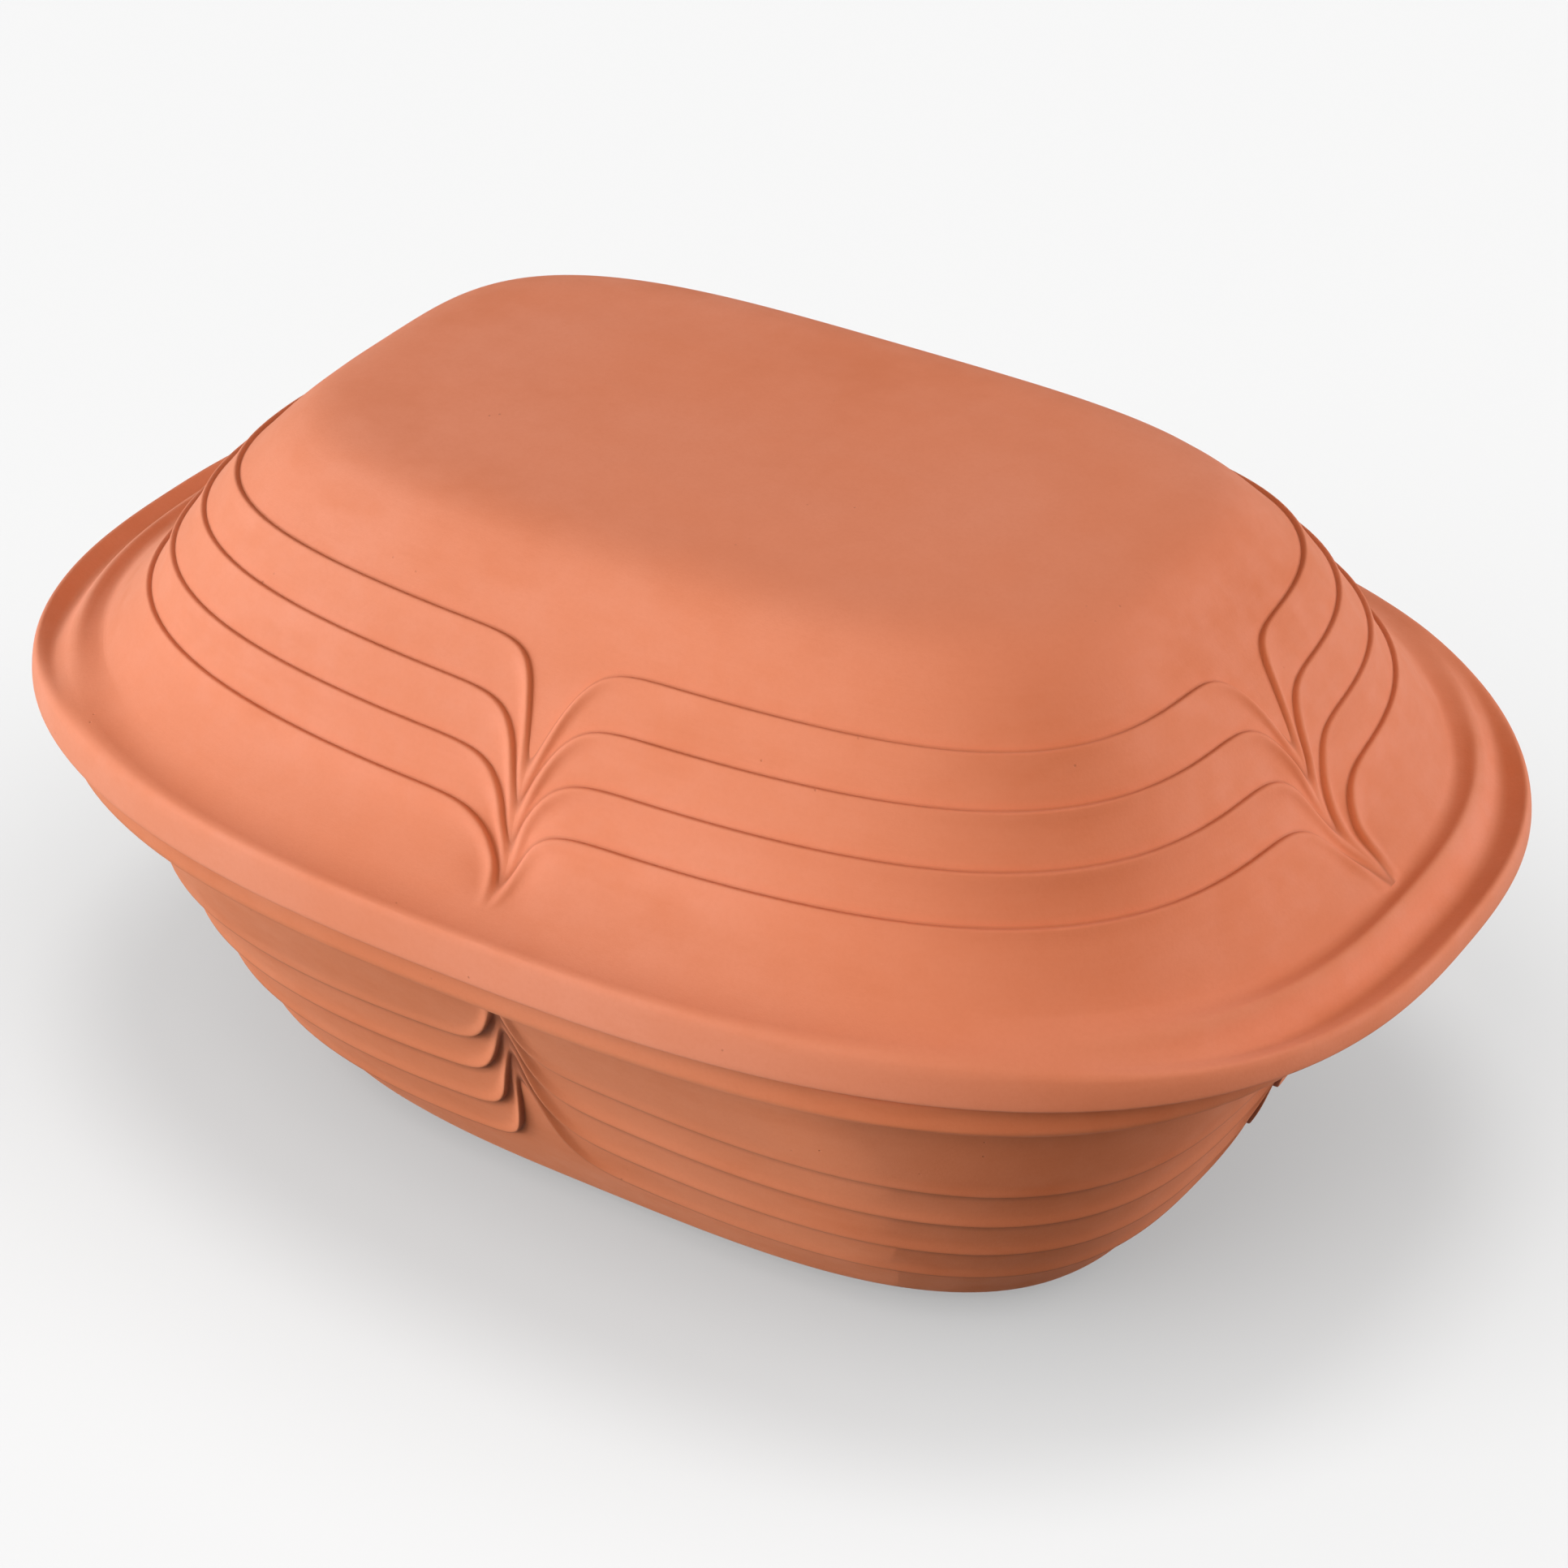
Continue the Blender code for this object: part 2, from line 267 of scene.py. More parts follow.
def faded(distance, reach):
    """1 at no distance, falling away smoothly over the reach."""
    return np.exp(-((distance / reach) ** 2))


def curve(share, start, leaving, end, arriving):
    """Point on the smooth curve that leaves the start and arrives at the end in these directions."""
    square = share * share
    cube = square * share
    return (
        (2 * cube - 3 * square + 1) * start
        + (cube - 2 * square + share) * leaving
        + (3 * square - 2 * cube) * end
        + (cube - square) * arriving
    )


def all_round():
    """Angles once round a piece, closest together at the four spines."""
    share = np.linspace(0, 1, QUARTER_COLUMNS, endpoint=False)
    near = share ** SPINE_CROWDING
    far = (1 - share) ** SPINE_CROWDING
    quarter = near / (near + far) * math.pi / 2
    return np.concatenate([quarter + turn * math.pi / 2 for turn in range(4)])


ANGLE = all_round()
AT_SIDE = smooth_step(np.abs(np.arctan(np.tan(ANGLE))), GRIP_START, GRIP_END)


def ring(half_length, half_width, squareness):
    """Points of a superellipse at every angle, as X and Y."""
    across = np.cos(ANGLE)
    along = np.sin(ANGLE)
    reach = (np.abs(across) ** squareness + np.abs(along) ** squareness) ** (-1 / squareness)
    return half_length * reach * across, half_width * reach * along


def flat_ring(half_length, half_width, squareness, rise):
    x, y = ring(half_length, half_width, squareness)
    return np.stack([x, y, rise + 0 * ANGLE], -1)


class Course:
    """Smooth course through rows of values that never overshoots between them."""

    def __init__(self, values, lengths):
        self.values = np.array(values, float)
        chord = np.hypot(*np.diff(lengths, axis=1))
        self.knots = np.concatenate([[0], np.cumsum(chord)]) / chord.sum()
        self.slopes = np.stack([self.gentle_slopes(row) for row in self.values])

    def gentle_slopes(self, row):
        step = np.diff(row) / np.diff(self.knots)
        slope = np.concatenate([[step[0]], (step[1:] + step[:-1]) / 2, [step[-1]]])
        before = np.abs(np.concatenate([[step[0]], step]))
        after = np.abs(np.concatenate([step, [step[-1]]]))
        slope = np.sign(slope) * np.minimum(np.abs(slope), 3 * np.minimum(before, after))
        slope[1:-1][step[1:] * step[:-1] <= 0] = 0
        return slope

    def at(self, place):
        place = np.clip(place, 0, 1)
        found = np.clip(np.searchsorted(self.knots, place, side="right") - 1, 0, len(self.knots) - 2)
        width = self.knots[found + 1] - self.knots[found]
        share = (place - self.knots[found]) / width
        leaving = self.slopes[:, found] * width
        arriving = self.slopes[:, found + 1] * width
        return curve(share, self.values[:, found], leaving, self.values[:, found + 1], arriving)


class Wall(Course):
    """Profile of a piece: height from the seat, inset of the ring and its squareness.

    A flare widens the low rings, by its first number at the ends and its second at the sides.
    A lean shifts the middle of the front, as LID_LEAN and BASE_LEAN say.
    """

    def __init__(self, levels, height, inset_by=0.0, flare=(0.0, 0.0), lean=(0.0, 0.0, 1.0)):
        rows = np.array(levels, float)
        rise = rows[:, 0] * height
        inset = rows[:, 1] * HALF_WIDTH
        if inset_by:
            slope_rise = np.gradient(rise)
            slope_inset = np.gradient(inset)
            slope_rise[-1] = 0
            length = np.hypot(slope_rise, slope_inset)
            inset = np.minimum(inset + inset_by * slope_rise / length, HALF_WIDTH)
            rise = rise - inset_by * slope_inset / length
        super().__init__([rise, inset, rows[:, 2]], np.stack([rise, inset]))
        self.height = height
        self.flare = flare
        self.lean = lean
        self.places = np.linspace(0, 1, WALL_LOOKUPS)
        self.rises = self.at(self.places)[0]

    def place_of(self, rise):
        return np.interp(rise, self.rises, self.places)

    def points(self, place):
        rise, inset, squareness = self.at(place + 0 * ANGLE)
        below = (LID_FLARE_HEIGHT - rise) / (LID_FLARE_HEIGHT - LID_RIM_HEIGHT)
        flared = np.clip(below, 0, LID_FLARE_MOST) ** LID_FLARE_BEND
        half_length = BODY_LENGTH / 2 - inset + self.flare[0] * flared * (1 - AT_SIDE)
        half_width = HALF_WIDTH - inset + self.flare[1] * flared * AT_SIDE
        x, y = ring(half_length, half_width, squareness)
        most, none_at, full_at = self.lean
        shift = most * smooth_step(rise / self.height, none_at, full_at) * (y < 0)
        return np.stack([x + shift * faded(x, LEAN_REACH), y, rise], -1)

    def stretch(self, rise):
        """Length along the wall for each unit of height."""
        place = self.place_of(rise)
        low = self.at(np.clip(place - 2 * PLACE_STEP, 0, 1))
        high = self.at(np.clip(place + 2 * PLACE_STEP, 0, 1))
        climb = np.maximum(high[0] - low[0], 1e-6)
        return np.hypot(climb, high[1] - low[1]) / climb


# What each point of a piece carries, for the steps, for the finish and for the painted shade in the
# creases
MARKS = ("below_crease", "band_share", "relief", "uneven", "fold", "groove", "edge")


class Rows:
    """Rows of points of one piece, each with its place on the relief, its wear and its painted crease
    shade.
    """

    def __init__(self):
        self.points = []
        self.marks = {name: [] for name in MARKS}

    def add(self, points, **marks):
        self.points.append(np.asarray(points, float))
        for name, values in self.marks.items():
            values.append(marks.get(name, 0) + 0 * ANGLE)


def spine_distances():
    """Distance of each column from the middle of the long sides and from that of the ends."""
    half_length = BODY_LENGTH / 2 - SPINE_RING_INSET
    x, y = ring(half_length, HALF_WIDTH - SPINE_RING_INSET, SPINE_RING_SQUARENESS)
    return np.abs(x), np.abs(y)


FROM_SIDE, FROM_END = spine_distances()


def dip_near(distance):
    """1 at a spine, falling away from it, with a rounded tip."""
    return np.exp((SWAG_TIP - np.hypot(distance, SWAG_TIP)) / SWAG_WIDTH)


def line_height(line, height, sag):
    """Height of one relief line at every column; sag is a depth and the distance at which it is met."""
    panel, side, end = (share * height for share in line)
    dip = (panel - side) * dip_near(FROM_SIDE) + (panel - end) * dip_near(FROM_END)
    sunk = 0
    for distance in (FROM_SIDE, FROM_END):
        sunk = sunk + sag[0] * distance / sag[1] * np.exp(1 - distance / sag[1])
    return panel - dip - sunk


def line_slant(wall, line, sag):
    """Share of a step along the wall that lies square to the line."""
    panel, side, end = (share * wall.height for share in line)
    slope = (panel - side) * np.exp(-FROM_SIDE / SWAG_WIDTH)
    slope = slope + (panel - end) * np.exp(-FROM_END / SWAG_WIDTH)
    slope = slope / SWAG_WIDTH * wall.stretch(line_height(line, wall.height, sag))
    return 1 / np.hypot(1, slope)


def add_relief(rows, wall, lines, sag, shade, valley, start):
    """Rows of the draped wall, from the given heights up past the last crease."""
    height = wall.height
    spine = faded(FROM_SIDE, SPINE_WIDTH) + faded(FROM_END, SPINE_WIDTH)
    fold = faded(FROM_SIDE, FOLD_REACH) + faded(FROM_END, FOLD_REACH)

    def add(rise, **marks):
        place = wall.place_of(rise)
        fading = smooth_step(rise, UNEVEN_FADE_START * height, UNEVEN_FADE_END * height)
        marks["uneven"] = smooth_step(rise, start, start + UNEVEN_FULL) * (1 - fading)
        depth = valley * spine * smooth_step(rise, SPINE_START * height, SPINE_FULL * height)
        depth = depth * (1 - smooth_step(rise, SPINE_FADE_START * height, SPINE_FADE_END * height))
        points = wall.points(place)
        ahead = np.roll(points, -1, 0) - np.roll(points, 1, 0)
        climb = wall.points(np.clip(place + PLACE_STEP, 0, 1)) - wall.points(place - PLACE_STEP)
        normal = np.cross(ahead, climb)
        normal /= np.linalg.norm(normal, axis=-1, keepdims=True)
        rows.add(points - depth[:, None] * normal, **marks)

    floor = start + 0 * ANGLE
    for line in lines:
        crease = line_height(line, height, sag) + STEP_FACE
        true_length = wall.stretch(crease) * line_slant(wall, line, sag)
        length = np.maximum((crease - floor) * true_length, 1e-5)
        count = len(CREASE_DISTANCES) + len(FOOT_DISTANCES) + len(MIDDLE_SHARES)
        down = []
        for index, distance in enumerate(CREASE_DISTANCES):
            down.append(np.minimum(distance, length * (index + 1) / count))
        foot = []
        for index, distance in enumerate(FOOT_DISTANCES):
            foot.append(length - np.minimum(distance, length * (len(FOOT_DISTANCES) - index) / count))
        middle = [down[-1] + (foot[0] - down[-1]) * share for share in MIDDLE_SHARES]
        for distance in reversed([0 * ANGLE, *down, *middle, *foot]):
            # Painted shade: darker at each crease, over the lip and over the foot of the next band
            over_lip = faded(distance, shade[0])
            over_foot = faded(length - distance, shade[1]) * (line is not lines[0])
            add(
                crease - distance / true_length,
                below_crease=distance,
                band_share=distance / length,
                relief=1 - faded(length, BAND_ROOM),
                fold=fold,
                groove=np.maximum(over_lip, over_foot),
            )
        floor = crease
    top = wall.values[0, RELIEF_TOP]
    for distance in LAST_DISTANCES:
        last = floor + distance / wall.stretch(floor)
        # Painted shade: darker just past the last crease, fading out above it
        add(last, groove=faded(distance, shade[1]))
    for share in np.linspace(0, 1, LAST_ROWS + 1)[1:]:
        add(last + (np.maximum(top, last + LAST_CLIMB) - last) * share)


def add_rim(rows, profile, sizes, outer, landing, landing_squareness, count, warp=0.0):
    """Rows over a rim, from its outer edge to the landing, which is the first ring of the wall.

    Sizes are the rim's width at the sides, its width at the ends and its height. Outer is the
    half length, half width and squareness of the outer edge.
    """
    side_width, end_width, rim_height = sizes
    half_length, half_width, outer_squareness = outer
    table = np.array(profile).T
    course = Course(table, np.stack([table[0] * side_width, table[2] * rim_height]))
    found = []
    for place in np.linspace(0, 1, count):
        side_share, end_share, side_rise, end_rise = course.at(np.array([place]))[:, 0]
        blend = (side_share + end_share) / 2
        squareness = outer_squareness + (landing_squareness - outer_squareness) * blend
        length = half_length - end_share * end_width
        width = half_width - side_share * side_width
        x, y = ring(length, width, squareness)
        rise = rim_height * (end_rise + (side_rise - end_rise) * AT_SIDE)
        rise = rise + warp * (1 - smooth_step(place, 0.0, WARP_FADE))
        found.append(np.stack([x, y, rise], -1))
    miss = landing - found[-1]
    for place, points in zip(np.linspace(0, 1, count), found):
        rows.add(points + miss * float(smooth_step(place, LANDING_START, 1.0)))


def add_edge(rows, half_length, half_width, squareness, turn, radius=EDGE_ROUND, warp=0.0):
    """Rounded edge of a seat; turn is +1 for an outer edge and -1 for an inner one."""
    steps = np.linspace(0, 1, EDGE_ROWS)
    for share in steps if turn > 0 else steps[::-1]:
        bend = share * math.pi / 2
        back = radius * (1 - math.sin(bend)) * turn
        up = radius * (1 - math.cos(bend))
        points = flat_ring(half_length - back, half_width - back, squareness, up + warp)
        rows.add(points, edge=math.sin(2 * bend))


def bend_over(rows, first, last, amount):
    """Turns the rows between two others into one smooth bend from surface to surface."""
    points = np.array(rows.points[first - 1 : last + 2])
    lengths = np.linalg.norm(np.diff(points, axis=0), axis=-1)[..., None]
    total = lengths[1:-1].sum(0)
    leave = (points[2] - points[0]) / (lengths[0] + lengths[1]) * total
    arrive = (points[-1] - points[-3]) / (lengths[-1] + lengths[-2]) * total
    for index, share in enumerate((np.cumsum(lengths[1:-1], axis=0) / total)[:-1]):
        bent = curve(share, points[1], leave, points[-2], arrive)
        straight = points[index + 2]
        rows.points[first + 1 + index] = straight + (bent - straight) * amount[:, None]


def add_inside(rows, inner, first_rise, count):
    """Rows of the inner wall, from the given height to its middle."""
    first = float(inner.place_of(first_rise))
    for share in np.linspace(0, 1, count):
        rows.add(inner.points(first + (1 - first) * share))


def add_outside_middle(rows, wall, count):
    """Rows of the outer wall past the relief, to its middle."""
    after = float(wall.place_of(wall.values[0, RELIEF_TOP]))
    for share in np.linspace(0, 1, count + 1)[1:]:
        rows.add(wall.points(after + (1 - after) * share ** MIDDLE_CROWDING))


def warped_corner():
    """1 at the corner where the fired rim sinks a little, falling away on both sides."""
    turn = np.arctan2(np.sin(ANGLE - WARP_ANGLE), np.cos(ANGLE - WARP_ANGLE))
    return faded(turn, WARP_REACH)


def mouth_size():
    """Half length and half width of the mouth of the base."""
    inset = BASE_WALL[0][1] * HALF_WIDTH + MOUTH_INSET
    return BODY_LENGTH / 2 - inset, HALF_WIDTH - inset


def outside_rim_first(rows):
    """Turns the outside rows round, so that a piece runs from its middle out to its rim."""
    rows.points.reverse()
    for values in rows.marks.values():
        values.reverse()


def base_rows():
    """Rows of the base, upside down: heights count from the seat down to the foot."""
    wall = Wall(BASE_WALL, BASE_HEIGHT, lean=BASE_LEAN)
    half_length, half_width = BASE_RIM_LENGTH, BASE_RIM_WIDTH
    rows = Rows()
    warp = WARP * warped_corner()
    add_edge(rows, half_length, half_width, BASE_RIM_SQUARENESS, 1, warp=warp)
    outer = (half_length, half_width, BASE_RIM_SQUARENESS)
    sizes = (BASE_RIM_OVERHANG, BASE_RIM_OVERHANG + BASE_GRIP, BASE_RIM_HEIGHT)
    add_rim(rows, BASE_RIM, sizes, outer, wall.points(0.0), BASE_WALL[0][2], BASE_RIM_ROWS, warp)
    add_relief(rows, wall, BASE_LINES, BASE_SAG, BASE_CREASE_SHADE_REACH, BASE_VALLEY, wall.values[0, 0])
    add_outside_middle(rows, wall, BASE_MIDDLE_ROWS)
    outside_rim_first(rows)
    mouth_length, mouth_width = mouth_size()
    add_edge(rows, mouth_length, mouth_width, BASE_WALL[0][2], -1)
    inner = Wall(BASE_WALL, BASE_HEIGHT, WALL)
    add_inside(rows, inner, max(3 * EDGE_ROUND, inner.values[0, 0]), BASE_INSIDE_ROWS)
    return rows


def lid_rows():
    """Rows of the lid: heights count from the seat up to the crown."""
    wall = Wall(LID_WALL, LID_HEIGHT, flare=(LID_END_FLARE, LID_FLARE), lean=LID_LEAN)
    rows = Rows()
    start = wall.values[0, 0] + (LID_FLARE_RELIEF - wall.values[0, 0]) * AT_SIDE
    landing = wall.points(wall.place_of(start))
    add_edge(rows, LID_LENGTH / 2, HALF_WIDTH, LID_RIM_SQUARENESS, 1, LID_EDGE_ROUND)
    outer = (LID_LENGTH / 2, HALF_WIDTH, LID_RIM_SQUARENESS)
    sizes = (LID_RIM_WIDTH, LID_GRIP_WIDTH, LID_RIM_HEIGHT)
    first = len(rows.points)
    add_rim(rows, LID_RIM, sizes, outer, landing, LID_WALL[0][2], LID_RIM_ROWS)
    add_relief(rows, wall, LID_LINES, LID_SAG, LID_CREASE_SHADE_REACH, LID_VALLEY, start)
    for (low, high), amount in ((END_BEND, 1 - AT_SIDE), (SIDE_BEND, AT_SIDE)):
        bend_over(rows, first + low, first + high, amount)
    add_outside_middle(rows, wall, LID_MIDDLE_ROWS)
    outside_rim_first(rows)
    mouth_length, mouth_width = mouth_size()
    squareness = BASE_WALL[0][2]
    low = EDGE_ROUND - RIB_DEPTH
    beside = EDGE_ROUND * BEVEL_SHARE
    beneath = low - EDGE_ROUND * (1 - BEVEL_SHARE)
    for inset, rise in (
        (0, 0),
        (0, low),
        (beside, beneath),
        (EDGE_ROUND, -RIB_DEPTH),
        (RIB_WIDTH - EDGE_ROUND, -RIB_DEPTH),
        (RIB_WIDTH - beside, beneath),
        (RIB_WIDTH, low),
    ):
        back = RIB_CLEARANCE + inset
        rows.add(flat_ring(mouth_length - back, mouth_width - back, squareness, rise))
    add_inside(rows, Wall(LID_WALL, LID_HEIGHT, WALL), LID_INSIDE_START, LID_INSIDE_ROWS)
    return rows


def blank(name, rows, base_height, upwards):
    """Closed mesh through the rows, before the steps are raised on it."""
    points = np.array(rows.points)
    points[0, :, 1] = 0
    points[-1, :, 1] = 0
    points[..., 2] = base_height + points[..., 2] * (1 if upwards else -1)
    row_count, column_count = points.shape[:2]
    column = np.arange(column_count)
    beside = (column + 1) % column_count
    faces = []
    for row in range(row_count - 1):
        near = row * column_count
        far = near + column_count
        quads = np.stack([near + column, near + beside, far + beside, far + column], -1)
        faces.append(quads[:, ::-1] if upwards else quads)
    mesh = bpy.data.meshes.new(name)
    mesh.from_pydata(points.reshape(-1, 3).tolist(), [], np.concatenate(faces).tolist())
    for mark, values in rows.marks.items():
        attribute = mesh.attributes.new(mark, "FLOAT", "POINT")
        attribute.data.foreach_set("value", np.array(values, np.float32).ravel())
    piece = bpy.data.objects.new(name, mesh)
    bpy.context.scene.collection.objects.link(piece)
    return piece


# Nodes


def add_node(tree, kind, *inputs, **settings):
    """Node of that kind with its settings; inputs are sockets to link or values, in order."""
    node = tree.nodes.new(kind)
    for name, value in settings.items():
        setattr(node, name, value)
    for socket, value in zip(node.inputs, inputs):
        if isinstance(value, bpy.types.NodeSocket):
            tree.links.new(value, socket)
        elif value is not None:
            socket.default_value = value
    return node


def calculate(tree, operation, first, second=None, clamp=False):
    node = add_node(tree, "ShaderNodeMath", first, second, operation=operation, use_clamp=clamp)
    return node.outputs[0]


def multiply(tree, first, second):
    return calculate(tree, "MULTIPLY", first, second)


def group_socket(tree, name, kind, way="INPUT", value=None):
    socket = tree.interface.new_socket(name=name, in_out=way, socket_type=kind)
    if value is not None:
        socket.default_value = value
    return socket


# Waves of the uneven surface
WAVE_SCALE = 22.0
WAVE_DETAIL = 2.0


def draped_steps():
    """Geometry nodes that raise each band to a round lip at its crease, with a bead behind the lip.

    Where the steps gather near a spine they turn into deeper, softer folds.
    """
    tree = bpy.data.node_groups.new("draped steps", "GeometryNodeTree")
    group_socket(tree, "Geometry", "NodeSocketGeometry")
    for name, value in LID_STEPS.items():
        group_socket(tree, name, "NodeSocketFloat", value=value)
    group_socket(tree, "Clay", "NodeSocketMaterial")
    group_socket(tree, "Geometry", "NodeSocketGeometry", way="OUTPUT")
    given = tree.nodes.new("NodeGroupInput").outputs
    below, share, relief, uneven, fold = (
        add_node(tree, "GeometryNodeInputNamedAttribute", mark, data_type="FLOAT").outputs[0]
        for mark in ("below_crease", "band_share", "relief", "uneven", "fold")
    )

    def folded(name, fold_name):
        more = calculate(tree, "SUBTRACT", given[fold_name], given[name])
        return calculate(tree, "ADD", given[name], multiply(tree, more, fold))

    depth = folded("Step depth", "Fold depth")
    width = folded("Lip width", "Fold lip width")
    bead_share = folded("Bead share", "Fold bead share")
    bead_fall = folded("Bead fall", "Fold bead fall")
    across = calculate(tree, "DIVIDE", below, width, clamp=True)
    lip = multiply(tree, across, calculate(tree, "SUBTRACT", 2.0, across))
    lip = calculate(tree, "POWER", lip, folded("Lip roundness", "Fold lip roundness"))
    past = calculate(tree, "MAXIMUM", calculate(tree, "SUBTRACT", below, width), 0.0)
    past = calculate(tree, "DIVIDE", past, bead_fall)
    fall = calculate(tree, "EXPONENT", multiply(tree, multiply(tree, past, past), -1.0))
    ending = calculate(tree, "SUBTRACT", 1.0, calculate(tree, "POWER", share, 3.0))
    bead = multiply(tree, multiply(tree, fall, ending), bead_share)
    rest = calculate(tree, "SUBTRACT", 1.0, bead_share)
    swell = calculate(tree, "POWER", calculate(tree, "SUBTRACT", 1.0, share), 2.0)
    swell = multiply(tree, swell, rest)
    raised = multiply(tree, calculate(tree, "ADD", bead, swell), lip)
    raised = multiply(tree, multiply(tree, raised, depth), relief)
    wave = add_node(tree, "ShaderNodeTexNoise", noise_dimensions="4D")
    tree.links.new(given["Seed"], wave.inputs["W"])
    wave.inputs["Scale"].default_value = WAVE_SCALE
    wave.inputs["Detail"].default_value = WAVE_DETAIL
    wave = multiply(tree, calculate(tree, "SUBTRACT", wave.outputs[0], 0.5), given["Unevenness"])
    offset = calculate(tree, "ADD", raised, multiply(tree, wave, uneven))
    normal = tree.nodes.new("GeometryNodeInputNormal").outputs[0]
    push = tree.nodes.new("ShaderNodeVectorMath")
    push.operation = "SCALE"
    tree.links.new(normal, push.inputs[0])
    tree.links.new(offset, push.inputs["Scale"])
    moved = add_node(tree, "GeometryNodeSetPosition", given["Geometry"])
    tree.links.new(push.outputs[0], moved.inputs["Offset"])
    smooth = add_node(tree, "GeometryNodeSetShadeSmooth", moved.outputs[0])
    whole = add_node(tree, "GeometryNodeRealizeInstances", smooth.outputs[0])
    dressed = add_node(tree, "GeometryNodeSetMaterial", whole.outputs[0])
    tree.links.new(given["Clay"], dressed.inputs["Material"])
    add_node(tree, "NodeGroupOutput", dressed.outputs[0])
    return tree


def input_of(tree, name):
    """Identifier of the input of that name, by which a modifier takes its value."""
    for item in tree.interface.items_tree:
        if item.in_out == "INPUT" and item.name == name:
            return item.identifier
    raise KeyError(name)


def raise_steps(piece, tree, clay, profile):
    """Raises the steps, then keeps the result as a plain mesh with no doubled points."""
    modifier = piece.modifiers.new("draped steps", "NODES")
    modifier.node_group = tree
    for name, value in profile.items():
        modifier[input_of(tree, name)] = value
    modifier[input_of(tree, "Clay")] = clay
    bpy.context.view_layer.update()
    graph = bpy.context.evaluated_depsgraph_get()
    mesh = bpy.data.meshes.new_from_object(
        piece.evaluated_get(graph), preserve_all_data_layers=True, depsgraph=graph
    )
    piece.modifiers.clear()
    piece.data = mesh
    mesh.name = piece.name
    merge_doubles(mesh)


def merge_doubles(mesh):
    """Closes the seams and poles of the loft and cuts its faces into triangles."""
    form = bmesh.new()
    form.from_mesh(mesh)
    bmesh.ops.remove_doubles(form, verts=form.verts, dist=DOUBLES_APART)
    bmesh.ops.triangulate(form, faces=form.faces)
    form.to_mesh(mesh)
    form.free()
    mesh.shade_smooth()


# Clay

# Tones of each piece: pale, middle and deep, the base's a darker, redder copy of the lid's that paints
# shade on it;
# then the tints of the painted shade in the creases and in the pinholes
LID_TONES = ((0.86, 0.345, 0.215, 1), (0.82, 0.29, 0.155, 1), (0.74, 0.235, 0.105, 1))
# Painted shade: the base's tones are the lid's clay made darker and redder
BASE_SHADED_TONES = ((0.82, 0.295, 0.150, 1), (0.78, 0.248, 0.108, 1), (0.70, 0.195, 0.072, 1))
# Painted shade: dark tint of the creases
CREASE_SHADE_TINT = (0.24, 0.062, 0.024, 1)
# Painted shade: dark tint inside the pinholes
PINHOLE_SHADE_TINT = (0.25, 0.07, 0.03, 1)
# Painted shade: how far the creases of each piece go towards their dark tint
LID_CREASE_SHADING = 0.34
BASE_CREASE_SHADING = 0.85
EDGE_WEAR = 0.22
# Painted shade: how far the pinholes go towards their dark tint
PINHOLE_SHADING = 0.3
CLAY_GLOSS = 0.35
BUMP_STRENGTH = 0.55
BUMP_DISTANCE = 0.00022

# Drifts of the colour: stretch of the noise, its scale, detail and roughness, the levels where
# a drift starts and is full, its strength and the tone that it brings
DRIFTS = (
    ((1.0, 1.0, 1.0), 11.0, 3.0, 0.55, 0.36, 0.66, 0.60, "Pale"),
    ((1.0, 1.0, 2.6), 21.0, 4.0, 0.60, 0.48, 0.76, 0.55, "Deep"),
    ((1.0, 1.0, 14.0), 60.0, 3.0, 0.60, 0.30, 0.72, 0.10, "Pale"),
    ((1.0, 1.0, 1.0), 900.0, 2.0, 0.70, 0.35, 0.75, 0.12, "Deep"),
)

# Fine surface: stretch of the wiping marks, number of pinholes and their size within a cell
WIPING_STRETCH = (1.0, 1.0, 16.0)
PINHOLE_SCALE = 240.0
PINHOLE_CORE = 0.03
PINHOLE_RIM = 0.09


def colour_mix(tree, factor, first, second):
    node = tree.nodes.new("ShaderNodeMix")
    node.data_type = "RGBA"
    for socket, value in ((node.inputs[0], factor), (node.inputs[6], first), (node.inputs[7], second)):
        if isinstance(value, bpy.types.NodeSocket):
            tree.links.new(value, socket)
        else:
            socket.default_value = value
    return node.outputs[2]


def noise(tree, vector, scale, detail, roughness):
    node = add_node(tree, "ShaderNodeTexNoise", vector)
    node.inputs["Scale"].default_value = scale
    node.inputs["Detail"].default_value = detail
    node.inputs["Roughness"].default_value = roughness
    return node.outputs[0]


def remap(tree, value, low, high, to_low=0.0, to_high=1.0):
    node = add_node(tree, "ShaderNodeMapRange", value, low, high, to_low, to_high)
    node.interpolation_type = "SMOOTHSTEP"
    return node.outputs[0]


def stretched(tree, vector, scale):
    return add_node(tree, "ShaderNodeVectorMath", vector, scale, operation="MULTIPLY").outputs[0]


def clay_tones():
    """Group: colour of fired clay, drifting between three tones, with fine speckles."""
    tree = bpy.data.node_groups.new("clay tones", "ShaderNodeTree")
    group_socket(tree, "Vector", "NodeSocketVector")
    for name, tone in zip(("Pale", "Middle", "Deep"), LID_TONES):
        group_socket(tree, name, "NodeSocketColor", value=tone)
    group_socket(tree, "Color", "NodeSocketColor", way="OUTPUT")
    given = tree.nodes.new("NodeGroupInput").outputs
    colour = given["Middle"]
    for stretch, scale, detail, roughness, low, high, strength, tone in DRIFTS:
        drift = noise(tree, stretched(tree, given["Vector"], stretch), scale, detail, roughness)
        drift = multiply(tree, remap(tree, drift, low, high), strength)
        colour = colour_mix(tree, drift, colour, given[tone])
    add_node(tree, "NodeGroupOutput", colour)
    return tree


